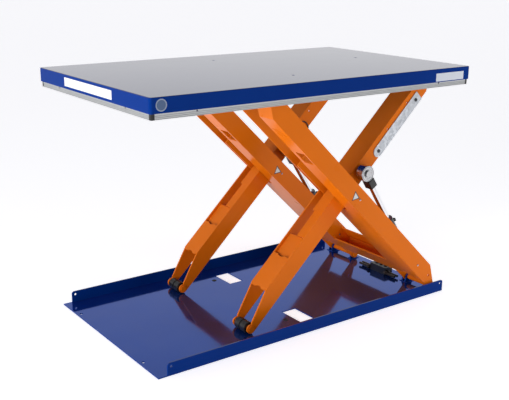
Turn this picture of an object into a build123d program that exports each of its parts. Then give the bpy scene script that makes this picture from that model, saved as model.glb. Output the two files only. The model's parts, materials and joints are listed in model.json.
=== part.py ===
from build123d import *
import os
from math import asin, atan2, cos, degrees, hypot, radians, sin, tan

# Low-profile scissor lift table, drawn raised. Millimetres, +Z up, floor at Z = 0.
# X runs along the table, fixed pivots at the +X end and rollers towards -X; "near" is the -Y side.
# The arms are drawn folded flat, along u with n upwards, and are then turned up about the centre pins.

os.makedirs("parts", exist_ok=True)

# overall sizes
deck_length = 1350.0
deck_width = 800.0
raised_height = 900.0
closed_height = 85.0
base_length = deck_length - 50.0
base_width = deck_width - 74.0

# deck and safety frame
deck_sheet = 4.0
lip_height = 48.0
deck_corner_r = 10.0
deck_edge_r = 3.0
deck_hole_r = 5.5
deck_hole_x = 40.0
deck_hole_edge = 154.0
rear_hole_end = 184.0
rear_hole_y = 28.0
stiffener_t = 6.0
stiffener_depth = 24.0
stiffener_pitch_share = 0.2518
stiffener_count = 3
stiffener_left_gap = 115.0
stiffener_right_gap = 255.0
strip_inset = 5.0
strip_t = 10.0
strip_show = 19.0
strip_tuck = 16.0
strip_travel = 8.0
strip_rib = 1.2
strip_rib_pitch = 5.0
strip_corner = 12.0
hang_pin_r = 3.0
hang_head_r = 6.0
hang_head_t = 2.0
hang_clearance = 0.3
hang_edge = 160.0

# base tray; the window gap is from the raised rollers, which close away from the windows
base_sheet = 4.0
flange_height = 46.0
flange_setback = 34.0
flange_hole_r = 4.5
flange_hole_inset = 14.0
flange_hole_drop = 13.0
window_gap = 242.0
window_size = (63.0, 112.0)
window_edge = 135.0
anchor_hole_r = 6.0
anchor_hole_end = 15.0
anchor_hole_middle = -47.0
anchor_hole_edge = 125.0

# scissor geometry
pivot_inset = 69.0
roller_inset = 93.5
roller_r = 21.0
arm_depth = 70.0
arm_sheet = 6.0
web_sheet = 4.0
lobe_r = 17.0
lobe_shoulder = 15.0
heel_chamfer = 82.0
toe_taper = 144.0
chamfer_end = 19.0
crossing_gap = 13.75
plate_step = 8.0

# places across the table, measured from the near edge of the deck
outer_near_y = 47.0
inner_near_y = 130.0
outer_mid_y = 186.0
inner_far_y = 216.0
outer_far_y = 228.0
channel_edge_y = 124.0
far_pair_edge = 107.0

# outer arm details; a gap is from the end pivot and a share is of the half length of an arm
mid_plate_share = 0.3537
web_slope_end = 34.0
web_right_gap = 83.75
web_window_share = 0.4867
web_window = (62.0, 50.0)
web_window_edge = 3.0
web_cut_share = 0.64
web_cut_width = 88.0
lock_hole_gap = 57.75
lock_hole_r = 4.5
beam_gap = 73.75
beam_width = 80.0
beam_wall = 5.0
end_beam_gap = 13.75
end_beam_width = 34.0
end_beam_n = (15.0, 33.0)
cheek_length = 93.75
anchor_ear_half = 26.0
anchor_ear_top = 12.0

# inner arm details
inner_web_gap = 53.75
web_full_shares = (0.7747, 0.5339)
web_notch_r = 32.0
web_notch_past = 26.0
web_ledge_shares = (0.5642, 0.3789)
web_ledge_drop = 10.0
web_strip_share = 0.1886
web_strip_widths = (34.0, 47.0)
tie_gap = 15.75
tie_width = 30.0
tie_depth = 13.0
small_hole_r = 4.0
small_hole_shares = (0.5053, 0.7242)

# pins, bushes and rollers
pivot_pin_r = 10.0
center_pin_r = 15.0
axle_r = 9.0
bush_wall = 3.0
bush_flange = 1.5
pin_running = 0.05
pin_head_t = 3.0
roller_length = 62.0
roller_gap = 6.0
roller_groove = 3.0
roller_chamfer = 2.0

# brackets
ear_t = 6.0
ear_half = 22.0
ear_r = 14.0
ear_gap = 1.5
bracket_foot_t = 3.0
bracket_foot_side = 10.0
bolt_r = 4.0
bolt_head_r = 6.5
bolt_head_h = 4.0

# hydraulic cylinders
cyl_y = 103.0
anchor_share = 0.7579
anchor_n = -5.0
anchor_pin_r = 8.0
lift_u = 105.0
lift_n = 5.0
lift_roller_r = 30.0
lift_roller_t = 32.0
lift_axle_r = 10.0
barrel_r = 21.0
barrel_bore = 17.0
barrel_start = 28.0
barrel_end = 228.0
lug_r = 17.0
lug_t = 22.0
gland_t = 16.0
gland_lip = 4.0
rod_r = 11.0
piston_t = 12.0
piston_clearance = 0.1
head_block = (34.0, 37.0, 30.0)
lift_gap = 0.6
port_r = 5.0
port_rise = 8.0

# guard plate on the near inner arm
guard_shares = (0.32, 0.8253)
guard_n = (-28.0, 14.0)
guard_t = 2.5
guard_gap = 0.5
guard_bolt_inset = 24.0

# hydraulic block and pipes on the base
block_length = 44.0
block_height = 30.0
block_width_share = 0.28125
block_place_share = 0.45
block_gap = 10.0
pipe_r = 5.0
pipe_gaps = (34.0, 18.0)
pipe_z = 14.0
pipe_reach_share = 0.1875

# how far a cut runs past the face it opens
cut_past = 1.0

half_l = deck_length / 2
half_w = deck_width / 2
pivot_x = half_l - pivot_inset
base_axis_z = base_sheet + roller_r
top_axis_drop = deck_sheet + roller_r
span_closed = deck_length - pivot_inset - roller_inset
rise_closed = closed_height - base_axis_z - top_axis_drop
rise_raised = raised_height - base_axis_z - top_axis_drop
arm_span = hypot(span_closed, rise_closed)
fold = degrees(asin(rise_raised / arm_span) - asin(rise_closed / arm_span))
center_x = pivot_x - arm_span * cos(asin(rise_raised / arm_span)) / 2
center_z = base_axis_z + rise_raised / 2
end_u = span_closed / 2
end_n = rise_closed / 2
half_d = arm_depth / 2
low_edge = -half_d + plate_step
web_low = (-half_d, -half_d + web_sheet)
web_high = (half_d - web_sheet, half_d)
raised_turn = radians(2 * fold)
crossing_clear = half_d / sin(raised_turn) + half_d / abs(tan(raised_turn)) + crossing_gap
pair_shift = deck_width - far_pair_edge - arm_sheet - outer_far_y
anchor_u = anchor_share * end_u
web_left = -end_u + heel_chamfer
web_right = end_u - web_right_gap
slope_rise = (end_n - lobe_shoulder + half_d) / (heel_chamfer - chamfer_end)
web_full_u = (-web_full_shares[0] * end_u, -web_full_shares[1] * end_u)


def across(y):
    """Table Y of a place measured from the near edge."""
    return y - half_w


def turned_up(shape, side):
    """Carry a folded arm piece to its raised place; side is +1 for outer arms, -1 for inner."""
    return Pos(center_x, 0, center_z) * Rot(0, side * fold, 0) * shape


def filled(*points):
    """A filled outline in u and n, its face turned towards the viewer whichever way it is listed."""
    shape = Polygon(*points, align=None)
    if shape.face().normal_at().Z < 0:
        shape = Polygon(*reversed(points), align=None)
    return shape


def slab(outline, y0, y1):
    """Extrude an outline in u and n between two places across the table."""
    return Pos(0, across(y1), 0) * Rot(90, 0, 0) * extrude(outline, amount=y1 - y0)


def brick(u_range, y_range, n_range):
    """A rectangular block from its limits along u, across the table and along n."""
    size = (u_range[1] - u_range[0], y_range[1] - y_range[0], n_range[1] - n_range[0])
    middle = (sum(u_range) / 2, across(sum(y_range) / 2), sum(n_range) / 2)
    return Pos(*middle) * Box(*size)


def rod(u, n, y0, y1, radius):
    """A round bar across the table."""
    return Pos(u, across((y0 + y1) / 2), n) * Rot(90, 0, 0) * Cylinder(radius, y1 - y0)


def spot(u, n, radius):
    """A filled circle in u and n."""
    return Pos(u, n) * Circle(radius)


def save(name, shape):
    shape.label = name
    export_step(shape, f"parts/{name}.step")


def group(shapes):
    return Compound(children=list(shapes))


def arm_outline(left, right, left_taper, right_taper):
    """Side outline of a plate from the left pivot lobe to the right one, tapered beside each."""
    up = 1 if left[1] > 0 else -1
    points = [
        (left[0], left[1] + up * lobe_r),
        left,
        (left[0] + chamfer_end, left[1] - up * lobe_shoulder),
        (left[0] + left_taper, -up * half_d),
        (right[0] - chamfer_end, -up * half_d),
        (right[0], right[1] - up * lobe_r),
        right,
        (right[0] - chamfer_end, right[1] + up * lobe_shoulder),
        (right[0] - right_taper, up * half_d),
        (left[0] + chamfer_end, up * half_d),
    ]
    return filled(*points) + spot(*left, lobe_r) + spot(*right, lobe_r)


base_pivot = (end_u, -end_n)
top_roller = (-end_u, end_n)
low_roller = (-end_u, -end_n)
top_pivot = (end_u, end_n)


def outer_arm(shift):
    """Channel with the cylinder in it, a middle plate to the base clevis and an outer plate."""
    near = arm_outline(top_roller, base_pivot, heel_chamfer, heel_chamfer)
    near -= spot(*base_pivot, pivot_pin_r + bush_wall)
    near -= spot(*top_roller, axle_r)
    near -= spot(0, 0, center_pin_r)
    near -= spot(anchor_u, anchor_n, anchor_pin_r)
    near -= spot(end_u - lock_hole_gap, 0, lock_hole_r)
    y = outer_near_y + shift
    arm = slab(near, y, y + arm_sheet)

    web = brick((web_left, web_right), (y + arm_sheet, channel_edge_y + shift), web_low)
    window_u = -web_window_share * end_u
    window_y = y + arm_sheet + web_window_edge + web_window[1] / 2
    window = brick(
        (window_u - web_window[0] / 2, window_u + web_window[0] / 2),
        (window_y - web_window[1] / 2, window_y + web_window[1] / 2),
        web_low,
    )
    arm += web - window
    mid_y = outer_mid_y + shift
    wide = brick((crossing_clear, web_right), (y + arm_sheet, mid_y), web_low)
    cut_y = across(y + arm_sheet)
    cut = filled(
        (web_cut_share * end_u, cut_y),
        (web_right + cut_past, cut_y),
        (web_right + cut_past, cut_y + web_cut_width),
    )
    wide -= Pos(0, 0, -half_d - cut_past) * extrude(cut, amount=web_sheet + 2 * cut_past)
    arm += wide
    slope_n = -half_d + (heel_chamfer - web_slope_end) * slope_rise
    slope_thick = web_sheet * hypot(1, slope_rise)
    slope = filled(
        (web_left, -half_d),
        (-end_u + web_slope_end, slope_n),
        (-end_u + web_slope_end, slope_n + slope_thick),
        (web_left, -half_d + slope_thick),
    )
    arm += slab(slope, y + arm_sheet, channel_edge_y + shift)

    mid_left = -mid_plate_share * end_u
    mid_top = half_d - plate_step
    mid = filled(
        (mid_left, -half_d),
        (end_u, -half_d),
        (end_u, -end_n),
        (end_u - chamfer_end, -end_n + lobe_shoulder),
        (end_u - heel_chamfer, mid_top),
        (mid_left, mid_top),
    )
    mid += spot(*base_pivot, lobe_r)
    mid -= spot(*base_pivot, pivot_pin_r + bush_wall)
    mid -= spot(0, 0, center_pin_r)
    arm += slab(mid, mid_y, mid_y + arm_sheet)

    far_y = outer_far_y + shift
    far_low = -half_d + plate_step
    far = filled(
        (-end_u + heel_chamfer, far_low),
        (-end_u + chamfer_end, end_n - lobe_shoulder),
        (-end_u, end_n),
        (-end_u, half_d),
        (2 * center_pin_r, half_d),
        (2 * center_pin_r, far_low),
    )
    far += spot(*top_roller, lobe_r)
    far -= spot(*top_roller, axle_r)
    far -= spot(0, 0, center_pin_r)
    arm += slab(far, far_y, far_y + arm_sheet)

    cheek_start = -end_u + cheek_length
    cheek = filled(
        (cheek_start, -half_d + web_sheet),
        (-end_u + heel_chamfer, -half_d + web_sheet),
        (-end_u + chamfer_end, end_n - lobe_shoulder),
        (-end_u, end_n),
        (-end_u, half_d),
        (cheek_start, half_d),
    )
    cheek += spot(*top_roller, lobe_r)
    cheek -= spot(*top_roller, axle_r)
    cheek_y = channel_edge_y + shift
    arm += slab(cheek, cheek_y - arm_sheet, cheek_y)
    end_beam_u = -end_u + end_beam_gap
    arm += brick((end_beam_u, end_beam_u + end_beam_width), (cheek_y, far_y), end_beam_n)

    ear = filled(
        (anchor_u - anchor_ear_half, web_low[1]),
        (anchor_u + anchor_ear_half, web_low[1]),
        (anchor_u + anchor_ear_half / 2, anchor_ear_top),
        (anchor_u - anchor_ear_half / 2, anchor_ear_top),
    )
    ear -= spot(anchor_u, anchor_n, anchor_pin_r)
    arm += slab(ear, cheek_y - arm_sheet, cheek_y)
    return turned_up(arm, 1)


def inner_arm(shift):
    """Channel open below, with its top web cut back where the middle plate of the outer arm rises."""
    outline = arm_outline(low_roller, top_pivot, toe_taper, heel_chamfer)
    relief = filled(
        (-center_pin_r - 2 * plate_step, -half_d),
        (-center_pin_r, low_edge),
        (end_u, low_edge),
        (end_u, -half_d),
    )
    outline -= relief
    outline -= spot(*low_roller, axle_r)
    outline -= spot(*top_pivot, pivot_pin_r + bush_wall)
    outline -= spot(0, 0, center_pin_r + bush_wall)
    near_y = inner_near_y + shift
    far_y = inner_far_y + shift
    near = outline - spot(lift_u, lift_n, lift_axle_r)
    for share in small_hole_shares:
        near -= spot(share * end_u, end_n, small_hole_r)
    arm = slab(near, near_y, near_y + arm_sheet)
    arm += slab(outline, far_y, far_y + arm_sheet)

    inside = (near_y + arm_sheet, far_y)
    arm += brick((crossing_clear, end_u - inner_web_gap), inside, web_high)
    web = brick(web_full_u, inside, web_high)
    mouth_y = sum(inside) / 2
    for u in (web_full_u[0] - web_notch_past, web_full_u[1] + web_notch_past):
        web -= Pos(u, across(mouth_y), sum(web_high) / 2) * Cylinder(web_notch_r, 2 * web_sheet)
    arm += web
    ledge_high = (web_high[0] - web_ledge_drop, web_high[1] - web_ledge_drop)
    ledge_u = (-web_ledge_shares[0] * end_u, -web_ledge_shares[1] * end_u)
    arm += brick(ledge_u, inside, ledge_high)
    strip_u = (ledge_u[1], -web_strip_share * end_u, crossing_clear)
    for i in range(len(web_strip_widths)):
        strip_y = (near_y + arm_sheet, near_y + arm_sheet + web_strip_widths[i])
        arm += brick((strip_u[i], strip_u[i + 1]), strip_y, web_high)
    return turned_up(arm, -1)


def bush_pair(u, n, plates, radius, side):
    """A flanged bush in each plate, around a pin of the given radius."""
    bushes = []
    for y in plates:
        bush = rod(u, n, y, y + arm_sheet, radius + bush_wall)
        bush += rod(u, n, y - bush_flange, y, radius + bush_wall + bush_flange)
        bush -= rod(u, n, y - bush_flange, y + arm_sheet, radius + pin_running)
        bushes.append(turned_up(bush, side))
    return bushes


def pin(u, n, y0, y1, radius, side):
    """A pin or axle with a flat head at its near end."""
    body = rod(u, n, y0, y1, radius)
    body += rod(u, n, y0 - pin_head_t, y0, radius + pin_head_t)
    return turned_up(body, side)


def roller(u, n, y0, side):
    """A grooved steel roller, bored to turn on its axle."""
    y1 = y0 + roller_length
    middle = (y0 + y1) / 2
    body = Pos(u, across(middle), n) * Rot(90, 0, 0) * Cylinder(roller_r, roller_length)
    body = chamfer(body.edges().filter_by(GeomType.CIRCLE), roller_chamfer)
    groove = (middle - roller_groove, middle + roller_groove)
    body -= rod(u, n, *groove, roller_r + cut_past) - rod(u, n, *groove, roller_r - roller_groove)
    body -= rod(u, n, y0, y1, axle_r + pin_running)
    return turned_up(body, side)


def base_tray():
    left = -base_length / 2
    tray = Pos(0, 0, base_sheet / 2) * Box(base_length, base_width, base_sheet)
    flange_l = base_length - flange_setback
    flange_x = left + flange_setback + flange_l / 2
    side = Pos(0, flange_height / 2) * Rectangle(flange_l, flange_height)
    corners = side.vertices().sort_by(Axis.Y)[-2:]
    side = fillet(corners, deck_corner_r)
    for end in (-1, 1):
        hole_x = end * (flange_l / 2 - flange_hole_inset)
        side -= Pos(hole_x, flange_height - flange_hole_drop) * Circle(flange_hole_r)
    for edge in (-1, 1):
        outer = edge * base_width / 2
        y_far = max(outer, outer - edge * base_sheet)
        tray += Pos(flange_x, y_far, 0) * Rot(90, 0, 0) * extrude(side, amount=base_sheet)
    window_x = 2 * center_x - pivot_x + window_gap
    for edge in (-1, 1):
        window_y = edge * (base_width / 2 - window_edge)
        tray -= Pos(window_x, window_y, base_sheet / 2) * Box(*window_size, 2 * base_sheet)
        hole_y = edge * (base_width / 2 - anchor_hole_edge)
        for x in (left + anchor_hole_end, anchor_hole_middle):
            tray -= Pos(x, hole_y, base_sheet / 2) * Cylinder(anchor_hole_r, 2 * base_sheet)
    return tray


def ear_bracket(ear_places, foot_z, axis_z, up):
    """Ears welded on a foot plate; up is +1 when they stand on the base, -1 under the deck."""
    foot_y = (ear_places[0] - bracket_foot_side, ear_places[-1] + bracket_foot_side)
    foot_top = foot_z + up * bracket_foot_t
    foot_n = (min(foot_z, foot_top), max(foot_z, foot_top))
    bracket = brick((pivot_x - ear_half, pivot_x + ear_half), foot_y, foot_n)
    for y in ear_places:
        ear = filled(
            (pivot_x - ear_half, foot_z),
            (pivot_x + ear_half, foot_z),
            (pivot_x + ear_r, axis_z),
            (pivot_x - ear_r, axis_z),
        )
        ear += spot(pivot_x, axis_z, ear_r)
        ear -= spot(pivot_x, axis_z, pivot_pin_r)
        bracket += slab(ear, y - ear_t / 2, y + ear_t / 2)
    return bracket


def deck():
    top = Pos(0, 0, raised_height - lip_height / 2) * Box(deck_length, deck_width, lip_height)
    top = fillet(top.edges().filter_by(Axis.Z), deck_corner_r)
    top = fillet(top.faces().sort_by(Axis.Z)[-1].edges(), deck_edge_r)
    inner_l = deck_length - 2 * deck_sheet
    inner_w = deck_width - 2 * deck_sheet
    hollow = Box(inner_l, inner_w, lip_height)
    hollow = fillet(hollow.edges().filter_by(Axis.Z), deck_corner_r - deck_sheet)
    top -= Pos(0, 0, raised_height - deck_sheet - lip_height / 2) * hollow
    hole_y = half_w - deck_hole_edge
    for x, y in ((-deck_hole_x, -hole_y), (-deck_hole_x, hole_y), (half_l - rear_hole_end, rear_hole_y)):
        top -= Pos(x, y, raised_height) * Cylinder(deck_hole_r, 3 * deck_sheet)
    return top


strip_bottom = raised_height - lip_height - strip_show
strip_top = raised_height - lip_height + strip_tuck
strip_outer_x = half_l - strip_inset
strip_outer_y = half_w - strip_inset
hang_z = raised_height - lip_height + strip_tuck / 2 - hang_pin_r


def hang_places():
    """Pin places as x, y and outward direction, two to a side."""
    places = []
    for end in (-1, 1):
        for edge in (-1, 1):
            places.append((end * (half_l - hang_edge), edge * half_w, 0, edge))
            places.append((end * half_l, edge * (half_w - hang_edge), end, 0))
    return places


def hang_cylinder(place, start, length, radius, z):
    """A bar that runs inwards from the lip at one pin place."""
    x, y, dx, dy = place
    middle = start + length / 2
    turn = Rot(0, 90, 0) if dx else Rot(90, 0, 0)
    return Pos(x - dx * middle, y - dy * middle, z) * turn * Cylinder(radius, length)


def safety_strip(direction):
    """One ribbed bar of the sliding safety frame, with a slot over each of its two pins."""
    dx, dy = direction
    length = (2 * strip_outer_x if dy else 2 * strip_outer_y) - 2 * strip_corner
    height = strip_top - strip_bottom
    profile = Pos(0, height / 2) * Rectangle(strip_t, height)
    for i in range(int(strip_show // strip_rib_pitch)):
        profile -= Pos(-strip_t / 2, (i + 1 / 2) * strip_rib_pitch) * Circle(strip_rib)
    bar = extrude(profile, amount=length / 2, both=True)
    turn = degrees(atan2(-dy, -dx))
    bar = Rot(0, 0, turn) * Rot(90, 0, 0) * bar
    middle_x = dx * (strip_outer_x - strip_t / 2)
    middle_y = dy * (strip_outer_y - strip_t / 2)
    bar = Pos(middle_x, middle_y, strip_bottom) * bar
    slot_r = hang_pin_r + hang_clearance
    slot_depth = strip_t + 2 * cut_past
    inner = strip_inset + strip_t / 2
    for place in hang_places():
        x, y, px, py = place
        if (px, py) != direction:
            continue
        for z in (hang_z, hang_z - strip_travel):
            bar -= hang_cylinder(place, strip_inset - cut_past, slot_depth, slot_r, z)
        if px:
            slot = Box(slot_depth, 2 * slot_r, strip_travel)
        else:
            slot = Box(2 * slot_r, slot_depth, strip_travel)
        bar -= Pos(x - px * inner, y - py * inner, hang_z - strip_travel / 2) * slot
    return bar


def corner_blocks():
    blocks = []
    height = strip_top - strip_bottom
    for sx in (-1, 1):
        for sy in (-1, 1):
            block = Box(strip_corner, strip_corner, height)
            upright = block.edges().filter_by(Axis.Z)
            outer_edge = max(upright, key=lambda edge: sx * edge.center().X + sy * edge.center().Y)
            block = fillet(outer_edge, deck_corner_r - strip_inset)
            x = sx * (strip_outer_x - strip_corner / 2)
            y = sy * (strip_outer_y - strip_corner / 2)
            blocks.append(Pos(x, y, (strip_bottom + strip_top) / 2) * block)
    return blocks


# the lift cylinders, drawn along their own axis from the anchor pin and then set in the raised pose
lift_in_outer = (
    lift_u * cos(raised_turn) - lift_n * sin(raised_turn),
    lift_u * sin(raised_turn) + lift_n * cos(raised_turn),
)
reach = hypot(anchor_u - lift_in_outer[0], lift_in_outer[1] - anchor_n)
cylinder_turn = degrees(atan2(lift_in_outer[1] - anchor_n, anchor_u - lift_in_outer[0]))
head_face = reach - lift_roller_r - lift_gap


def cylinder_piece(shape, shift):
    """Set a piece drawn along +s from the anchor pin: s points from the anchor to the lift roller."""
    flat = Pos(anchor_u, 0, anchor_n) * Rot(0, 180 + cylinder_turn, 0) * shape
    return turned_up(Pos(0, across(cyl_y + shift), 0) * flat, 1)


def along(s0, s1, radius):
    """A round bar on the cylinder axis."""
    return Pos((s0 + s1) / 2, 0, 0) * Rot(0, 90, 0) * Cylinder(radius, s1 - s0)


def barrel():
    body = along(barrel_start, barrel_end, barrel_r)
    body += Rot(90, 0, 0) * Cylinder(lug_r, lug_t)
    body += along(0, barrel_start, lug_t / 2)
    bore_start = barrel_start + lug_r / 4
    body -= along(bore_start, barrel_end, barrel_bore)
    body -= Rot(90, 0, 0) * Cylinder(anchor_pin_r + pin_running, lug_t)
    return body


def gland():
    start = barrel_end - gland_t
    body = along(start, barrel_end, barrel_bore)
    body += along(barrel_end, barrel_end + gland_lip, barrel_r)
    body -= along(start, barrel_end + gland_lip, rod_r + pin_running)
    return body


def piston_rod():
    piston_end = barrel_end - gland_t - piston_clearance
    body = along(piston_end - piston_t, piston_end, barrel_bore - piston_clearance)
    body += along(piston_end, head_face - head_block[0], rod_r)
    return body


def rod_head():
    block = Pos(head_face - head_block[0] / 2, 0, 0) * Box(*head_block)
    return chamfer(block.edges().filter_by(Axis.X), roller_chamfer)


def port():
    """A short elbow on the side of the barrel that shows above the arm."""
    port_s = barrel_end - gland_t - port_r
    riser = Pos(port_s, 0, -barrel_r - port_rise / 2) * Cylinder(port_r, port_rise)
    elbow = Pos(port_s - port_r, 0, -barrel_r - port_rise) * Rot(0, 90, 0) * Cylinder(port_r, 2 * port_r)
    return riser + elbow


for side_name, shift in (("near", 0.0), ("far", pair_shift)):
    save(f"outer_arm_{side_name}", outer_arm(shift))
    save(f"inner_arm_{side_name}", inner_arm(shift))

    center_y = (outer_near_y + shift, outer_far_y + arm_sheet + shift)
    save(f"center_pin_{side_name}", turned_up(rod(0, 0, *center_y, center_pin_r), 1))

    base_pin_y = (outer_near_y - bush_flange + shift, outer_mid_y + 2 * arm_sheet + ear_t + shift)
    base_ears = [
        outer_near_y + arm_sheet + ear_gap + ear_t / 2 + shift,
        outer_mid_y - ear_gap - bush_flange - ear_t / 2 + shift,
        outer_mid_y + arm_sheet + ear_gap + ear_t / 2 + shift,
    ]
    near_ear = ear_bracket(base_ears[:1], base_sheet, base_axis_z, 1)
    clevis = ear_bracket(base_ears[1:], base_sheet, base_axis_z, 1)
    save(f"base_ear_{side_name}", near_ear)
    save(f"base_clevis_{side_name}", clevis)
    save(f"base_pivot_pin_{side_name}", pin(*base_pivot, *base_pin_y, pivot_pin_r, 1))

    top_ears = [
        inner_near_y + arm_sheet + ear_gap + ear_t / 2 + shift,
        inner_far_y - ear_gap - bush_flange - ear_t / 2 + shift,
    ]
    top_z = raised_height - deck_sheet
    save(f"top_bracket_{side_name}", ear_bracket(top_ears, top_z, raised_height - top_axis_drop, -1))
    top_pin_y = (inner_near_y - bush_flange + shift, inner_far_y + arm_sheet + shift)
    save(f"top_pivot_pin_{side_name}", pin(*top_pivot, *top_pin_y, pivot_pin_r, -1))

    upper_axle_y = (outer_near_y + shift, outer_far_y + arm_sheet + shift)
    lower_axle_y = (inner_near_y + shift, inner_far_y + arm_sheet + shift)
    save(f"upper_axle_{side_name}", pin(*top_roller, *upper_axle_y, axle_r, 1))
    save(f"lower_axle_{side_name}", pin(*low_roller, *lower_axle_y, axle_r, -1))
    upper_roller_y = outer_near_y + arm_sheet + roller_gap / 2 + shift
    lower_roller_y = (inner_near_y + arm_sheet + inner_far_y - roller_length) / 2 + shift
    save(f"upper_roller_{side_name}", roller(*top_roller, upper_roller_y, 1))
    save(f"lower_roller_{side_name}", roller(*low_roller, lower_roller_y, -1))

    anchor_y = (outer_near_y + shift, channel_edge_y + shift)
    anchor_pin = rod(anchor_u, anchor_n, *anchor_y, anchor_pin_r)
    save(f"cylinder_anchor_pin_{side_name}", turned_up(anchor_pin, 1))
    save(f"cylinder_barrel_{side_name}", cylinder_piece(barrel(), shift))
    save(f"cylinder_gland_{side_name}", cylinder_piece(gland(), shift))
    save(f"cylinder_port_{side_name}", cylinder_piece(port(), shift))
    save(f"piston_rod_{side_name}", cylinder_piece(piston_rod(), shift))
    save(f"rod_head_{side_name}", cylinder_piece(rod_head(), shift))

    roller_y = (cyl_y - lift_roller_t / 2 + shift, cyl_y + lift_roller_t / 2 + shift)
    stub_y = (roller_y[0] - pin_head_t, inner_near_y + arm_sheet + shift)
    stub = rod(lift_u, lift_n, *stub_y, lift_axle_r)
    stub += rod(lift_u, lift_n, stub_y[0] - pin_head_t, stub_y[0], lift_axle_r + pin_head_t)
    stub += rod(lift_u, lift_n, roller_y[1] + lift_gap, inner_near_y + shift, lift_axle_r + pin_head_t)
    save(f"lift_roller_stub_{side_name}", turned_up(stub, -1))
    wheel = rod(lift_u, lift_n, *roller_y, lift_roller_r)
    wheel -= rod(lift_u, lift_n, *roller_y, lift_axle_r + pin_running)
    save(f"lift_roller_{side_name}", turned_up(wheel, -1))

outer_bushes = []
center_bushes = []
top_bushes = []
for shift in (0.0, pair_shift):
    outer_plates = (outer_near_y + shift, outer_mid_y + shift)
    inner_plates = (inner_near_y + shift, inner_far_y + shift)
    outer_bushes += bush_pair(*base_pivot, outer_plates, pivot_pin_r, 1)
    center_bushes += bush_pair(0, 0, inner_plates, center_pin_r, -1)
    top_bushes += bush_pair(*top_pivot, inner_plates, pivot_pin_r, -1)
save("base_pivot_bushes", group(outer_bushes))
save("center_bushes", group(center_bushes))
save("top_pivot_bushes", group(top_bushes))

# the beam that joins the two outer arms, and the tie that joins the two inner arms
beam_y = (outer_far_y, outer_near_y + pair_shift)
beam_u = (end_u - beam_gap - beam_width, end_u - beam_gap)
beam = brick(beam_u, beam_y, (-half_d, half_d - plate_step))
beam -= brick(
    (beam_u[0] - beam_wall, beam_u[1] - beam_wall),
    beam_y,
    (-half_d + beam_wall, half_d - plate_step - beam_wall),
)
beam += brick(beam_u, (outer_mid_y + arm_sheet, beam_y[0]), web_low)
save("outer_cross_beam", turned_up(beam, 1))
tie_y = (inner_far_y + arm_sheet, inner_near_y + pair_shift)
tie_u = (end_u - tie_gap - tie_width, end_u - tie_gap)
save("inner_cross_tie", turned_up(brick(tie_u, tie_y, (half_d - tie_depth, half_d)), -1))

guard_y = (inner_near_y - guard_gap - guard_t, inner_near_y - guard_gap)
guard_middle = sum(guard_n) / 2
guard_half = (guard_n[1] - guard_n[0]) / 2
guard_u = (guard_shares[0] * end_u, guard_shares[1] * end_u)
guard_outline = filled(
    (guard_u[0] + guard_half, guard_n[0]),
    (guard_u[1], guard_n[0]),
    (guard_u[1], guard_n[1]),
    (guard_u[0] + guard_half, guard_n[1]),
)
guard_outline += spot(guard_u[0] + guard_half, guard_middle, guard_half)
guard = slab(guard_outline, *guard_y)
guard_bolt_u = (guard_u[0] + guard_bolt_inset, guard_u[1] - guard_bolt_inset)
bolts = []
for u in guard_bolt_u:
    guard -= rod(u, guard_middle, *guard_y, bolt_r)
    bolt = rod(u, guard_middle, guard_y[0], inner_near_y, bolt_r)
    bolt += rod(u, guard_middle, guard_y[0] - bolt_head_h / 2, guard_y[0], bolt_head_r)
    bolts.append(turned_up(bolt, -1))
save("guard_plate", turned_up(guard, -1))
save("guard_plate_bolts", group(bolts))

save("base_plate", base_tray())
save("platform_deck", deck())
stiffener_z = raised_height - deck_sheet - stiffener_depth / 2
stiffener_x = (-half_l + stiffener_left_gap, half_l - stiffener_right_gap)
between_far = outer_near_y + pair_shift - outer_far_y
stiffeners = []
for i in range(stiffener_count):
    step = i - (stiffener_count - 1) / 2
    y = outer_far_y + between_far * (1 / 2 + step * stiffener_pitch_share)
    bar = Box(stiffener_x[1] - stiffener_x[0], stiffener_t, stiffener_depth)
    stiffeners.append(Pos(sum(stiffener_x) / 2, across(y), stiffener_z) * bar)
save("deck_stiffeners", group(stiffeners))

for strip_name, direction in (("near", (0, -1)), ("far", (0, 1)), ("left", (-1, 0)), ("right", (1, 0))):
    save(f"safety_strip_{strip_name}", safety_strip(direction))
save("safety_corner_blocks", group(corner_blocks()))

hang_pins = []
for place in hang_places():
    length = strip_inset + strip_t + hang_clearance - deck_sheet
    hanger = hang_cylinder(place, deck_sheet, length, hang_pin_r, hang_z)
    hanger += hang_cylinder(place, deck_sheet + length, hang_head_t, hang_head_r, hang_z)
    hang_pins.append(hanger)
save("safety_hanger_pins", group(hang_pins))

# the valve block and its pipes lie between the clevises of the two pairs
between_mid = outer_near_y + pair_shift - outer_mid_y
block_y = outer_mid_y + block_place_share * between_mid
block_width = block_width_share * between_mid
pipe_reach = pipe_reach_share * between_mid
valve = Pos(pivot_x - block_gap, across(block_y), base_sheet + block_height / 2) * Box(
    block_length, block_width, block_height
)
save("hydraulic_valve_block", chamfer(valve.edges().filter_by(Axis.Z), roller_chamfer))
pipes = []
for gap in pipe_gaps:
    for way in (-1, 1):
        middle_y = across(block_y) + way * (block_width + pipe_reach) / 2
        pipes.append(Pos(pivot_x - gap, middle_y, pipe_z) * Rot(90, 0, 0) * Cylinder(pipe_r, pipe_reach))
save("hydraulic_pipes", group(pipes))
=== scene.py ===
import json
from math import cos, pi, radians, sin

import bmesh
import bpy
import numpy as np
from mathutils import Matrix, Vector


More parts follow.
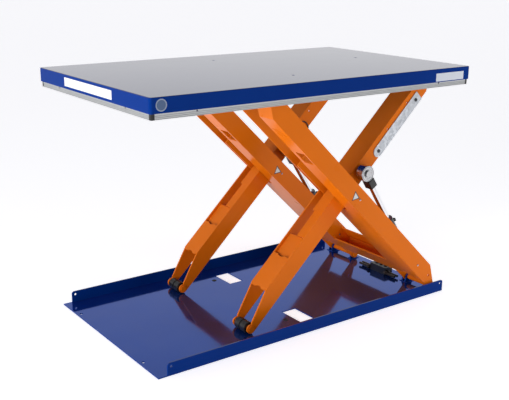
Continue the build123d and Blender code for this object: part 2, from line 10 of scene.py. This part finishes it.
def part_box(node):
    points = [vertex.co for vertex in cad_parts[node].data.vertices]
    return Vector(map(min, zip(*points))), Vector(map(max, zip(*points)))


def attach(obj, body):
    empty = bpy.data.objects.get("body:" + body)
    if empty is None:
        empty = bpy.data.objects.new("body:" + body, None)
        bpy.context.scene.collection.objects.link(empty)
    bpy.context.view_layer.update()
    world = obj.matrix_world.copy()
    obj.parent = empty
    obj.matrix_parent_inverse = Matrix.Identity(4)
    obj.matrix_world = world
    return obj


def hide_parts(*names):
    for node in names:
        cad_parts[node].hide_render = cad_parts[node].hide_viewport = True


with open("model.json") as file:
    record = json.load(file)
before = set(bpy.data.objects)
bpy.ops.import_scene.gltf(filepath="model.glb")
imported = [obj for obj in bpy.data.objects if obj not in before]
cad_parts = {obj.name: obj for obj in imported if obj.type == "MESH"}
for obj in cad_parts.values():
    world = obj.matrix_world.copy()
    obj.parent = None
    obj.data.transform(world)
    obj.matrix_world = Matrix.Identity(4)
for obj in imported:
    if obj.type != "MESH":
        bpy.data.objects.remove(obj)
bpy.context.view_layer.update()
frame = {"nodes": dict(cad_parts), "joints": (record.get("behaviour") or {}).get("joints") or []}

nodes = frame["nodes"]

# ---------------------------------------------------------------- camera, daylight and floor
# The table stands raised on a pale studio floor. The viewpoint is at chest height, off its
# near left corner, and the light is a soft white room with one large panel to the left.

EYE = Vector((-1.827, -2.498, 1.289))
TURN, TILT, ROLL = 0.631, -0.277, 0.009
camera = bpy.data.objects.new("camera", bpy.data.cameras.new("camera"))
bpy.context.scene.collection.objects.link(camera)
camera.data.sensor_width = 36.0
camera.data.lens = 60.15
camera.data.shift_x = -0.0073
camera.data.shift_y = -0.0063
forward = Vector((cos(TILT) * sin(TURN), cos(TILT) * cos(TURN), sin(TILT)))
level = Vector((cos(TURN), -sin(TURN), 0.0))
upright = level.cross(forward)
right = level * cos(ROLL) + upright * sin(ROLL)
camera.matrix_world = Matrix.Translation(EYE) @ Matrix(
    (right, right.cross(forward), -forward)
).transposed().to_4x4()
bpy.context.scene.camera = camera
bpy.context.scene.view_settings.view_transform = "Standard"


class Value:
    """A number, colour or direction that varies over a surface, held as a node's socket.
    Sums written on it add Math nodes, and make() adds any other node to the same material."""

    def __init__(self, socket):
        self.socket = socket

    def make(self, kind, settings=None, inputs=None, out=0):
        """Adds a node. Settings come first, then each input as a plain value or a link."""
        tree = self.socket.id_data
        node = tree.nodes.new("ShaderNode" + kind)
        for name, setting in (settings or {}).items():
            setattr(node, name, setting)
        for name, given in (inputs or {}).items():
            if isinstance(given, Value):
                tree.links.new(given.socket, node.inputs[name])
            else:
                node.inputs[name].default_value = given
        return Value(node.outputs[out])

    def math(self, operation, *numbers):
        return self.make("Math", {"operation": operation}, dict(enumerate(numbers)))

    def __add__(self, other):
        return self.math("ADD", self, other)

    def __mul__(self, other):
        return self.math("MULTIPLY", self, other)

    def __sub__(self, other):
        return self.math("SUBTRACT", self, other)

    def __rsub__(self, other):
        return self.math("SUBTRACT", other, self)

    __radd__ = __add__
    __rmul__ = __mul__

    def between(self, low, high):
        """0 below low, 1 above high, and straight between them."""
        return self.make("MapRange", None, {"Value": self, "From Min": low, "From Max": high})

    def noise(self, scale, detail=2.0):
        """Cloudy values from 0 to 1; scale is in clouds to a metre."""
        settings = {"Vector": self, "Scale": scale, "Detail": detail}
        return self.make("TexNoise", {"noise_dimensions": "3D"}, settings, out="Fac")

    def blend(self, first, second):
        """The first colour where this is 0, and the second where it is 1."""
        return self.make("Mix", {"data_type": "RGBA"}, {0: self, 6: first, 7: second}, out=2)


def rgb(red, green, blue):
    return (red, green, blue, 1.0)


def finish(name, fixed, varied, bump=0.2):
    """A material. Fixed numbers go straight to the shader's sockets. varied takes the piece's own
    coordinates and gives what changes over it; its Height, in millimetres, goes through a bump."""
    material = bpy.data.materials.new(name)
    material.use_nodes = True
    tree = material.node_tree
    shader = tree.nodes["Principled BSDF"]
    for socket, number in fixed.items():
        shader.inputs[socket].default_value = number
    place = Value(tree.nodes.new("ShaderNodeTexCoord").outputs["Object"])
    changing = varied(place)
    height = changing.pop("Height")
    relief = {"Strength": bump, "Distance": 0.001, "Height": height}
    changing["Normal"] = place.make("Bump", None, relief)
    for socket, value in changing.items():
        tree.links.new(value.socket, shader.inputs[socket])
    return material


def painted_floor(place):
    cloud = place.noise(1.5, 3.0)
    return {
        "Base Color": cloud.blend(rgb(0.86, 0.86, 0.87), rgb(0.90, 0.90, 0.90)),
        "Roughness": cloud * 0.2 + 0.6,
        "Height": place.noise(60.0),
    }


def add_mesh(name, grids, material):
    """A mesh from grids of points. Each grid's rows are closed loops, and each joins the next.
    Doubles at poles and seams are merged, and every shell is turned to face outwards."""
    corners, faces, start = [], [], 0
    for grid in grids:
        rows, columns = grid.shape[:2]
        index = start + np.arange(rows * columns).reshape(rows, columns)
        beside = np.roll(index, -1, axis=1)
        quads = (index[:-1], beside[:-1], beside[1:], index[1:])
        faces.append(np.stack(quads, axis=-1).reshape(-1, 4))
        corners.append(grid.reshape(-1, 3))
        start += rows * columns
    mesh = bpy.data.meshes.new(name)
    mesh.from_pydata(np.concatenate(corners), [], np.concatenate(faces))
    shell = bmesh.new()
    shell.from_mesh(mesh)
    bmesh.ops.remove_doubles(shell, verts=shell.verts, dist=2e-6)
    bmesh.ops.recalc_face_normals(shell, faces=shell.faces)
    shell.to_mesh(mesh)
    shell.free()
    mesh.shade_smooth()
    mesh.set_sharp_from_angle(angle=radians(38))
    mesh.materials.append(material)
    made = bpy.data.objects.new(name, mesh)
    bpy.context.scene.collection.objects.link(made)
    return made


FLOOR_REACH, FLOOR_DROP = 60.0, 0.0004
around = np.linspace(0, 2 * pi, 64, endpoint=False)
reach = np.array([0.0, 4.0, 16.0, FLOOR_REACH])[:, None]
floor_grid = np.stack(
    [reach * np.cos(around), reach * np.sin(around), 0 * reach * around - FLOOR_DROP], axis=-1
)
LIT_FLOOR = {"Emission Color": rgb(0.97, 0.97, 1.0), "Emission Strength": 0.66}
floor = add_mesh("floor", [floor_grid], finish("floor paint", LIT_FLOOR, painted_floor))

world = bpy.data.worlds.new("room")
bpy.context.scene.world = world
world.use_nodes = True
sky = Value(world.node_tree.nodes.new("ShaderNodeTexCoord").outputs["Generated"])
rise = sky.make("SeparateXYZ", None, {0: sky}, out="Z").between(0.0, 0.6)
dot = {"operation": "DOT_PRODUCT"}
behind = sky.make("VectorMath", dot, {0: sky, 1: (-0.35, 0.94, 0.0)}, out="Value")
white = rise.blend(rgb(1.60, 1.60, 1.64), rgb(0.60, 0.60, 0.62))
dim = behind.between(-0.9, 0.2).blend(rgb(0.28, 0.28, 0.29), rgb(1.0, 1.0, 1.0))
multiply = {"data_type": "RGBA", "blend_type": "MULTIPLY"}
walls = sky.make("Mix", multiply, {0: 1.0, 6: white, 7: dim}, 2)
background = world.node_tree.nodes["Background"]
world.node_tree.links.new(walls.socket, background.inputs["Color"])
background.inputs["Strength"].default_value = 0.55


def panel(name, place, aim, size, watts):
    """A square soft light at one point, turned to face another."""
    lamp = bpy.data.lights.new(name, "AREA")
    lamp.size = size
    lamp.energy = watts
    held = bpy.data.objects.new(name, lamp)
    bpy.context.scene.collection.objects.link(held)
    held.visible_glossy = False
    held.location = place
    held.rotation_euler = (Vector(aim) - Vector(place)).to_track_quat("-Z", "Y").to_euler()


panel("left panel", (-4.0, -0.8, 0.6), (0.0, 0.0, 0.5), 2.0, 125.0)
panel("right panel", (1.65, -1.45, 0.9), (0.4, -0.3, 0.4), 0.8, 9.0)

# ---------------------------------------------------------------- platform deck and base tray
# Folded mild steel sheet, seam-welded at the corners and stove enamelled in a wet-looking blue
# gloss that mirrors what stands on it. The brackets and stiffeners are painted with them.


def facing_up(place):
    """How far the surface faces the sky, from 0 to 1."""
    turned = place.make("NewGeometry", None, None, out="Normal")
    return place.make("SeparateXYZ", None, {0: turned}, out="Z").between(0.2, 0.9)


def edges(place, width):
    """1 along outside and inside corners, within the width in metres, and 0 on open faces."""
    rounded = place.make("Bevel", {"samples": 4}, {"Radius": width})
    flat = place.make("NewGeometry", None, None, out="Normal")
    settings = {"operation": "DOT_PRODUCT"}
    alike = place.make("VectorMath", settings, {0: rounded, 1: flat}, out="Value")
    return (1.0 - alike).between(0.03, 0.3)


def within(place, low, high):
    """1 inside a box given by its lowest and highest corners, and 0 outside it."""
    inside = 1.0
    for axis, start, end in zip("XYZ", low, high):
        along = place.make("SeparateXYZ", None, {0: place}, out=axis)
        past, short = along.math("GREATER_THAN", along, start), along.math("LESS_THAN", along, end)
        inside = past * short * inside
    return inside


def off_centre(place, centre):
    """Distance in metres from a point."""
    return place.make("VectorMath", {"operation": "DISTANCE"}, {0: place, 1: centre}, out="Value")


def gloss_blue(place):
    """Deep blue with a faint cloud in it and a much lighter, metallic blue on the tray's floor, a
    painted reflection of the bright room that the gloss mirrors there, paler corners as a painted
    edge highlight, a film of dust on what faces up, and the slight ripple of enamel that has
    flowed. Blank film labels lie on the lips: a long white one at the left end, a grey disc and a
    pale one along the front."""
    cloud = place.noise(4.0, 3.0)
    corner = edges(place, 0.0016)
    chips = corner * place.noise(140.0, 3.0).between(0.6, 0.68)
    up = facing_up(place)
    dust = up * place.noise(9.0, 4.0).between(0.35, 0.8)
    height = place.make("SeparateXYZ", None, {0: place}, out="Z")
    floor_of_tray = up * height.math("LESS_THAN", height, 0.02)
    side_blue = cloud.blend(rgb(0.0004, 0.024, 0.185), rgb(0.0008, 0.033, 0.225))
    # painted reflection: the tray floor takes a much lighter blue than the rest of the same enamel,
    # standing in for the bright room mirrored in it
    painted_reflection_blue = cloud.blend(rgb(0.012, 0.085, 0.50), rgb(0.018, 0.105, 0.56))
    body = floor_of_tray.blend(side_blue, painted_reflection_blue)
    # painted edge highlight: corners are mixed toward a paler blue
    highlit_edges = (corner * 0.3).blend(body, rgb(0.02, 0.11, 0.42))
    dusty = (dust * 0.05).blend(highlit_edges, rgb(0.35, 0.36, 0.40))
    chipped = (chips * 0.4).blend(dusty, rgb(0.10, 0.12, 0.18))
    long_label = within(place, (-0.70, -0.161, 0.861), (-0.672, 0.186, 0.890))
    short_label = within(place, (0.495, -0.42, 0.855), (0.640, -0.397, 0.884))
    ring = off_centre(place, (-0.638, -0.400, 0.876))
    disc = ring.math("LESS_THAN", ring, 0.0185)
    rim = disc * ring.math("GREATER_THAN", ring, 0.0150)
    wear = place.noise(70.0, 3.0) * 0.08
    film = wear.blend(rgb(0.80, 0.81, 0.82), rgb(0.45, 0.47, 0.50))
    labelled = long_label.blend(chipped, film)
    labelled = short_label.blend(labelled, rgb(0.62, 0.66, 0.72))
    labelled = disc.blend(labelled, rgb(0.10, 0.15, 0.26))
    scratch = place.noise(300.0, 2.0)
    return {
        "Base Color": (rim * 0.6).blend(labelled, rgb(0.42, 0.46, 0.55)),
        "Roughness": (cloud + dust) * 0.05 + (chips + long_label + short_label) * 0.3 + 0.06,
        "Metallic": floor_of_tray * 0.80,
        "Coat Weight": up * 0.95 - floor_of_tray * 0.67 + 0.02,
        "Height": place.noise(110.0) * 0.05 + scratch * 0.006,
    }


blue_paint = finish(
    "blue gloss enamel",
    {"Specular IOR Level": 0.02, "Coat Roughness": 0.03, "Coat IOR": 2.0},
    gloss_blue,
    bump=0.12,
)

BLUE_NODES = ["platform_deck", "base_plate", "deck_stiffeners"]
BLUE_NODES += [f"{kind}_{side}" for side in ("near", "far")
               for kind in ("base_ear", "base_clevis", "top_bracket")]


def paint(names, material):
    """Gives CAD pieces their finish."""
    for name in names:
        nodes[name].data.materials.clear()
        nodes[name].data.materials.append(material)


paint(BLUE_NODES, blue_paint)

# ---------------------------------------------------------------- scissor arms
# Four arms cut from steel plate and welded up as channels, with their cross beam and tie, all
# sprayed in a mid-gloss orange before the pins go in.


def orange_enamel(place):
    """Warm orange with soft darker clouds, paler corners as a painted edge highlight, dust on top
    faces and spray texture.
    """
    cloud = place.noise(5.0, 4.0)
    corner = edges(place, 0.0014)
    chips = corner * place.noise(120.0, 3.0).between(0.6, 0.68)
    body = cloud.blend(rgb(0.72, 0.150, 0.002), rgb(0.82, 0.180, 0.004))
    # painted edge highlight: corners are mixed toward a brighter orange
    highlit_edges = (corner * 0.4).blend(body, rgb(0.95, 0.30, 0.03))
    dust = facing_up(place) * place.noise(14.0, 4.0)
    dusty = (dust * 0.06).blend(highlit_edges, rgb(0.55, 0.45, 0.36))
    return {
        "Base Color": (chips * 0.55).blend(dusty, rgb(0.22, 0.10, 0.05)),
        "Roughness": cloud * 0.10 + chips * 0.3 + dust * 0.08 + 0.24,
        "Height": place.noise(220.0) * 0.05,
    }


orange_paint = finish(
    "orange enamel",
    {"Specular IOR Level": 0.07, "Coat Weight": 0.08, "Coat Roughness": 0.12},
    orange_enamel,
    bump=0.2,
)
ORANGE_NODES = ["outer_cross_beam", "inner_cross_tie"]
ORANGE_NODES += [f"{kind}_{side}" for side in ("near", "far")
                 for kind in ("outer_arm", "inner_arm", "center_pin", "base_pivot_pin",
                              "upper_axle", "top_pivot_pin", "lower_axle", "cylinder_anchor_pin")]
paint(ORANGE_NODES, orange_paint)

# ---------------------------------------------------------------- bare and blackened steel
# The lift roller stubs and the safety hanger pins are ground bright steel; rollers, cylinders,
# pipes and fittings are blackened; the rods are hard chrome and the bushes cast bronze.


def bright_steel(place):
    streak = place.make("Mapping", None, {"Vector": place, "Scale": (400.0, 20.0, 400.0)})
    grain = streak.noise(1.0, 3.0)
    stain = place.noise(30.0, 4.0)
    return {
        "Base Color": stain.blend(rgb(0.50, 0.50, 0.51), rgb(0.62, 0.62, 0.62)),
        "Roughness": grain * 0.15 + stain * 0.12 + 0.2,
        "Height": grain * 0.06,
    }


def blackened(place):
    stain = place.noise(40.0, 4.0)
    corner = edges(place, 0.0012)
    return {
        "Base Color": (corner * 0.5).blend(
            stain.blend(rgb(0.010, 0.010, 0.011), rgb(0.030, 0.030, 0.032)), rgb(0.10, 0.10, 0.10)
        ),
        "Roughness": stain * 0.2 + 0.26,
        "Height": place.noise(260.0) * 0.08,
    }


def hard_chrome(place):
    wipe = place.noise(50.0, 3.0)
    return {
        "Base Color": wipe.blend(rgb(0.72, 0.73, 0.75), rgb(0.82, 0.83, 0.85)),
        "Roughness": wipe * 0.08 + 0.07,
        "Height": place.noise(400.0) * 0.02,
    }


def cast_bronze(place):
    stain = place.noise(60.0, 4.0)
    return {
        "Base Color": stain.blend(rgb(0.50, 0.31, 0.12), rgb(0.68, 0.45, 0.20)),
        "Roughness": stain * 0.15 + 0.3,
        "Height": place.noise(200.0) * 0.1,
    }


def spangled_zinc(place):
    """Hot-dip zinc: flat crystals a few millimetres across, each with its own grey and gloss."""
    crystal = place.make("TexVoronoi", {"feature": "F1"}, {"Vector": place, "Scale": 90.0}, "Color")
    shade = place.make("SeparateColor", None, {0: crystal})
    cloud = place.noise(16.0, 3.0)
    tone = shade * 0.6 + cloud * 0.5
    return {
        "Base Color": tone.blend(rgb(0.36, 0.38, 0.41), rgb(0.90, 0.93, 0.96)),
        "Roughness": shade * 0.2 + 0.32,
        "Height": shade * 0.05,
    }


def ribbed_aluminium(place):
    """Extruded bar: fine die lines along it and a satin anodised skin."""
    line = place.make("Mapping", None, {"Vector": place, "Scale": (3.0, 3.0, 900.0)})
    die = line.noise(1.0, 2.0)
    cloud = place.noise(8.0, 3.0)
    return {
        "Base Color": cloud.blend(rgb(0.56, 0.57, 0.57), rgb(0.66, 0.67, 0.66)),
        "Roughness": die * 0.12 + cloud * 0.08 + 0.3,
        "Height": die * 0.08,
    }


def moulded_black(place):
    stain = place.noise(30.0, 3.0)
    return {
        "Base Color": stain.blend(rgb(0.010, 0.010, 0.010), rgb(0.022, 0.022, 0.023)),
        "Roughness": stain * 0.15 + 0.45,
        "Height": place.noise(500.0) * 0.15,
    }


METAL = {"Metallic": 1.0}
steel = finish("ground steel", METAL, bright_steel)
black_steel = finish("blackened steel", {"Metallic": 0.3, "Coat Weight": 0.3}, blackened)
chrome = finish("hard chrome", METAL, hard_chrome)
bronze = finish("cast bronze", METAL, cast_bronze)
zinc = finish("spangled zinc", METAL, spangled_zinc)
aluminium = finish("anodised aluminium", METAL, ribbed_aluminium)
plastic = finish("moulded black plastic", {}, moulded_black)

PAIR = ("near", "far")
paint([f"lift_roller_stub_{side}" for side in PAIR] + ["safety_hanger_pins"], steel)
paint([f"{kind}_{side}" for side in PAIR for kind in (
    "upper_roller", "lower_roller", "cylinder_barrel", "cylinder_gland", "cylinder_port",
    "rod_head")] + ["hydraulic_valve_block", "hydraulic_pipes", "guard_plate_bolts"], black_steel)
paint([f"piston_rod_{side}" for side in PAIR], chrome)
paint(["base_pivot_bushes", "center_bushes", "top_pivot_bushes"], bronze)
paint(["guard_plate"], zinc)
paint([f"safety_strip_{side}" for side in ("near", "far", "left", "right")], aluminium)
paint(["safety_corner_blocks"], plastic)

# ---------------------------------------------------------------- lift rollers
# Hardened steel rollers turned on a lathe, with a stepped face, a groove by the rim and a bore
# for the stub. Each runs free on its stub and carries the head of a lift cylinder.


def turned(centre, axis, profile, flats=0, steps=48):
    """A profile carried round an axis. Each row gives a radius, a height along the axis and how
    flat-sided it is: a flat-sided row's radius shrinks by cos(pi/flats) over the cosine of the
    angle from the middle of its flat, which makes a regular polygon of the circle."""
    axis = np.array(axis, float) / np.linalg.norm(axis)
    aside = np.cross(axis, (0.36, 0.48, 0.80))
    aside /= np.linalg.norm(aside)
    angle = np.linspace(0, 2 * pi, steps, endpoint=False)
    rows = np.array(profile, float)
    radius = rows[:, :1] * np.ones(steps)
    if flats:
        from_middle = (angle + pi / flats) % (2 * pi / flats) - pi / flats
        radius = radius * (1 + rows[:, 2:3] * (cos(pi / flats) / np.cos(from_middle) - 1))
    ring = np.cos(angle)[:, None] * aside + np.sin(angle)[:, None] * np.cross(axis, aside)
    return np.array(centre) + radius[..., None] * ring + rows[:, 1][:, None, None] * axis


def fit(name, grids, material, body):
    """Adds a made piece, which moves with a body and takes the given finish."""
    piece = add_mesh(name, grids, material)
    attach(piece, body)
    return piece


def turned_steel(place):
    """Lathe marks ring the face, and the running surface is polished by use."""
    wipe = place.noise(60.0, 3.0)
    return {
        "Base Color": wipe.blend(rgb(0.44, 0.44, 0.45), rgb(0.62, 0.62, 0.63)),
        "Roughness": wipe * 0.15 + 0.16,
        "Height": place.noise(600.0) * 0.03,
    }


lathe_steel = finish("turned steel", METAL, turned_steel)
for side in PAIR:
    low, high = (np.array(end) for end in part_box(f"lift_roller_{side}"))
    middle, half = (low + high) / 2, (high[1] - low[1]) / 2
    rim, bore = (high[0] - low[0]) / 2, 0.01005
    face = [(bore, half - 0.001), (bore + 0.0012, half), (0.0160, half), (0.0165, half - 0.0012),
            (0.0190, half - 0.0012), (0.0195, half), (rim - 0.0052, half),
            (rim - 0.0047, half - 0.0015), (rim - 0.0035, half - 0.0015), (rim - 0.0030, half),
            (rim - 0.0012, half), (rim, half - 0.0012)]
    loop = face + [(radius, -height) for radius, height in reversed(face)] + [face[0]]
    roller = fit(f"lift_roller_turned_{side}", [turned(middle, (0, -1, 0), loop, steps=64)],
                 lathe_steel, f"lift_roller_{side}")
    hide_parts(f"lift_roller_{side}")

# ---------------------------------------------------------------- pin caps and grease nipples
# The painted pins of the outer arms are drilled down their middles for grease. A small bright
# nipple is screwed into the near end of each, in a hexagon that takes a spanner.

LEAN = radians(43.9942)
pivots = {joint["name"]: joint.get("pos_m") for joint in frame["joints"]}
CENTRE = np.array(pivots["scissor_centre"])
EDGE, PAIR_SHIFT = -0.400, {"near": 0.0, "far": 0.459}
OUTER_PLATE, AXLE_HEAD = 0.0470, 0.0440
ANCHOR_U, ANCHOR_N = 0.45, -0.005


def on_arm(kind, along, across, out):
    """A place on a raised arm in metres: along it from the centre pin, across the table from the
    near edge, and square to it. Outer arms lean down to the right and inner arms up."""
    way = 1 if kind == "outer" else -1
    x = along * cos(LEAN) + way * out * sin(LEAN)
    z = out * cos(LEAN) - way * along * sin(LEAN)
    return CENTRE + np.array([x, EDGE + across, z])


NIPPLE = [(0.0, 0.0, 0), (0.0042, 0.0, 1), (0.0042, 0.0016, 1), (0.0036, 0.0019, 0),
          (0.0019, 0.0022, 0), (0.0016, 0.0032, 0), (0.0021, 0.0037, 0), (0.0019, 0.0043, 0),
          (0.0008, 0.0047, 0), (0.0, 0.0047, 0)]
END_U, END_N = 0.59375, 0.0175
for side in PAIR:
    across = PAIR_SHIFT[side]
    for spot, place in (
        ("centre", on_arm("outer", 0.0, OUTER_PLATE + across, 0.0)),
        ("top", on_arm("outer", -END_U, AXLE_HEAD + across, END_N)),
        ("anchor", on_arm("outer", ANCHOR_U, OUTER_PLATE + across, ANCHOR_N)),
    ):
        fit(f"grease_nipple_{spot}_{side}", [turned(place, (0, -1, 0), NIPPLE, 6, 24)],
            lathe_steel, "outer_frame")

# ---------------------------------------------------------------- welds
# The brackets, ears, beam and tie are welded by hand, in beads that ripple where each drop of
# metal froze, and are painted over with the pieces that they join.


def run_along(corners, pitch):
    """Points a pitch apart along straight runs between corners."""
    corners = np.array(corners, float)
    length = np.concatenate([[0], np.cumsum(np.linalg.norm(np.diff(corners, axis=0), axis=1))])
    walked = np.linspace(0, length[-1], int(length[-1] / pitch) + 2)
    return np.stack([np.interp(walked, length, corners[:, i]) for i in range(3)], axis=-1)


def carried(path, normal, radius, steps=10):
    """A circle carried along a path, its radius one number or one for each point. The circle lies
    in the plane of the given normal and of the side of the path, and its ends close to a point."""
    ahead = np.gradient(path, axis=0)
    ahead /= np.linalg.norm(ahead, axis=1)[:, None]
    aside = np.cross(ahead, normal)
    aside /= np.linalg.norm(aside, axis=1)[:, None]
    upward = np.cross(aside, ahead)
    angle = np.linspace(0, 2 * pi, steps, endpoint=False)
    ring = np.cos(angle)[:, None] * aside[:, None] + np.sin(angle)[:, None] * upward[:, None]
    tube = path[:, None] + np.broadcast_to(radius, len(path))[:, None, None] * ring
    first = np.broadcast_to(path[:1, None], (1, steps, 3))
    last = np.broadcast_to(path[-1:, None], (1, steps, 3))
    return np.concatenate([first, tube, last])


STEP, DROP = 0.0008, 0.0032


def weld(corners, normal, size=0.0030):
    """A bead whose radius swells by a seventh of itself with every drop of metal."""
    path = run_along(corners, STEP)
    drop = np.arange(len(path)) * STEP / DROP
    return carried(path, normal, size * (1 + 0.14 * np.abs(np.sin(pi * drop))))


def foot_weld(node, height):
    """A bead all round the foot of a bracket, at the given height."""
    low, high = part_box(node)
    corners = [(low[0], low[1]), (high[0], low[1]), (high[0], high[1]), (low[0], high[1]),
               (low[0], low[1])]
    return weld([(x, y, height) for x, y in corners], (0.0, 0.0, 1.0), 0.0022)


def arm_weld(kind, *places, normal=(0.01, 1.0, 0.02), size=0.0030):
    """A bead through places on a raised arm."""
    return weld([on_arm(kind, *place) for place in places], normal, size)


def stitches(kind, starts, across, out, normal):
    """Short beads, each from its start along an arm."""
    return [arm_weld(kind, (start, across, out), (start + STITCH, across, out), normal=normal)
            for start in starts]


TRAY_TOP, DECK_UNDER, STITCH = 0.0042, 0.8958, 0.05
fit("base_welds", [foot_weld(f"{kind}_{side}", TRAY_TOP) for side in PAIR
                   for kind in ("base_ear", "base_clevis")], blue_paint, "base")
fit("deck_welds", [foot_weld(f"top_bracket_{side}", DECK_UNDER) for side in PAIR],
    blue_paint, "platform")
BEAM = ((0.4402, 0.0272), (0.5202, 0.0272), (0.5202, -0.0348))
TIE = ((0.548, 0.0218), (0.548, 0.0350), (0.564, 0.0350))
outer_welds = [arm_weld("outer", *[(u, 0.5050, n) for u, n in BEAM])]
inner_welds = []
for side in PAIR:
    across = PAIR_SHIFT[side]
    foot = 0.1172 + across
    outer_welds.append(arm_weld("outer", (0.430, foot, -0.0308), (0.468, foot, -0.0308),
                                normal=(1.0, 0.0, 1.0)))
    outer_welds += stitches("outer", (-0.48, -0.39, -0.24, -0.12, 0.0, 0.12, 0.24, 0.32),
                            0.0536 + across, -0.0306, (1.0, 0.0, 1.0))
    inner_welds += stitches("inner", (0.07, 0.17, 0.27, 0.37, 0.47),
                            0.2154 + across, 0.0306, (-1.0, 0.0, 1.0))
for across in (0.2226, 0.5884):
    inner_welds.append(arm_weld("inner", *[(u, across, n) for u, n in TIE], size=0.0022))
fit("outer_arm_welds", outer_welds, orange_paint, "outer_frame")
fit("inner_arm_welds", inner_welds, orange_paint, "inner_frame")

# ---------------------------------------------------------------- arm marks
# Two blank triangular marks, a white film on a black one, stuck on the outer arms beside the
# centre pins where the arms cross.


def printed_film(name, clean, scuffed):
    """Satin film, its clean colour clouded by a scuffed one."""
    def varied(place):
        scuff = place.noise(90.0, 3.0)
        return {
            "Base Color": scuff.blend(clean, scuffed),
            "Roughness": scuff * 0.2 + 0.3,
            "Height": scuff * 0.02,
        }
    return finish(name, {}, varied)


film_black = printed_film("black film", rgb(0.018, 0.018, 0.018), rgb(0.035, 0.034, 0.033))
film_white = printed_film("white film", rgb(0.78, 0.78, 0.76), rgb(0.62, 0.62, 0.60))
for side in PAIR:
    place = on_arm("outer", -0.026, OUTER_PLATE + PAIR_SHIFT[side], -0.004)
    for name, material, size, rise in (("black", film_black, 0.0215, 0.00025),
                                       ("white", film_white, 0.0155, 0.00040)):
        sheet = [(0.0, -0.0004, 1), (size, -0.0004, 1), (size, rise, 1), (0.0, rise, 1)]
        fit(f"arm_mark_{name}_{side}", [turned(place, (0, -1, 0), sheet, 3, 30)],
            material, "outer_frame")

# ---------------------------------------------------------------- switch cable
# A short black sheathed cable clipped across the near face of the far inner arm, in the narrow
# gap that the outer arm leaves when the table closes.


def bent(start, through, end, count=40):
    """Points on the curve (1-t)^2 start + 2t(1-t) through + t^2 end, for t from 0 to 1."""
    t = np.linspace(0, 1, count)[:, None]
    start, through, end = (np.array(point) for point in (start, through, end))
    return (1 - t) ** 2 * start + 2 * t * (1 - t) * through + t**2 * end


clip = 0.1300 + PAIR_SHIFT["far"] - 0.0028
cable = bent(on_arm("inner", 0.243, clip, 0.018), on_arm("inner", 0.262, clip, -0.004),
             on_arm("inner", 0.246, clip, -0.029))
fit("switch_cable", [carried(cable, (0.0, 1.0, 0.0), 0.0025, 14)], plastic, "inner_frame")

# ---------------------------------------------------------------- cylinder and hose fittings
# A bright wiper ring is pressed into the mouth of each barrel and a weld closes its foot. Hexagon
# unions screw into the sides of the valve block, which has socket plugs on top.

ANCHOR = np.array(pivots["cylinder_tilt_near"])
LIFT = np.array(pivots["lift_roller_spin_near"])
CYLINDER = 0.103
push = (LIFT - ANCHOR) / np.linalg.norm(LIFT - ANCHOR)
WIPER = [(0.0112, 0.2315), (0.0165, 0.2315), (0.0172, 0.2322), (0.0172, 0.2333),
         (0.0160, 0.2340), (0.0122, 0.2340), (0.0112, 0.2328), (0.0112, 0.2315)]
FOOT_RING = [(0.0165, 0.0275), (0.0195, 0.0262), (0.0218, 0.0275), (0.0222, 0.0295),
             (0.0212, 0.0312), (0.0165, 0.0300), (0.0165, 0.0275)]
UNION = [(0.0, 0.0, 1), (0.0085, 0.0, 1), (0.0092, 0.0008, 1), (0.0092, 0.0080, 1),
         (0.0085, 0.0090, 0), (0.0068, 0.0094, 0), (0.0068, 0.0120, 0), (0.0055, 0.0126, 0),
         (0.0, 0.0126, 0)]
for side in PAIR:
    anchor = ANCHOR + np.array([0, EDGE + CYLINDER + PAIR_SHIFT[side], 0])
    fit(f"wiper_ring_{side}", [turned(anchor, push, WIPER)], lathe_steel, f"cylinder_{side}")
    fit(f"barrel_foot_weld_{side}", [turned(anchor, push, FOOT_RING)], black_steel,
        f"cylinder_{side}")
PIPE_X, PIPE_Z, SUNK = (0.572, 0.588), 0.014, 0.001
low, high = (np.array(end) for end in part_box("hydraulic_valve_block"))
unions = [turned((x, y - way * SUNK, PIPE_Z), (0.0, way, 0.0), UNION, 6, 30)
          for x in PIPE_X for y, way in ((low[1], -1.0), (high[1], 1.0))]
fit("valve_unions", unions, black_steel, "base")
PLUG = [(0.0, -0.0005, 0), (0.0078, -0.0005, 0), (0.0078, 0.0030, 0), (0.0070, 0.0038, 0),
        (0.0042, 0.0038, 1), (0.0042, 0.0012, 1), (0.0, 0.0012, 1)]
plugs = [turned(((low[0] + high[0]) / 2, low[1] + share * (high[1] - low[1]), high[2]),
                (0.0, 0.0, 1.0), PLUG, 6, 30) for share in (0.22, 0.5, 0.78)]
fit("valve_plugs", plugs, black_steel, "base")

# ---------------------------------------------------------------- tray hole plugs
# Moulded caps press into the two fixing holes beside the windows of the tray. Each has a domed
# lip with a shallow dish, and a short split stem below.

CAP = [(0.0, 0.0006, 0), (0.0050, 0.0008, 0), (0.0062, 0.0014, 0), (0.0080, 0.0014, 0),
       (0.0094, 0.0002, 0), (0.0094, 0.0, 0), (0.0057, 0.0, 0), (0.0055, -0.0036, 0),
       (0.0, -0.0036, 0)]
HOLE_X, HOLE_Y, TRAY_SHEET = -0.047, 0.238, 0.004
for side, way in zip(PAIR, (-1, 1)):
    fit(f"hole_cap_{side}", [turned((HOLE_X, way * HOLE_Y, TRAY_SHEET), (0.0, 0.0, 1.0), CAP)],
        plastic, "base")
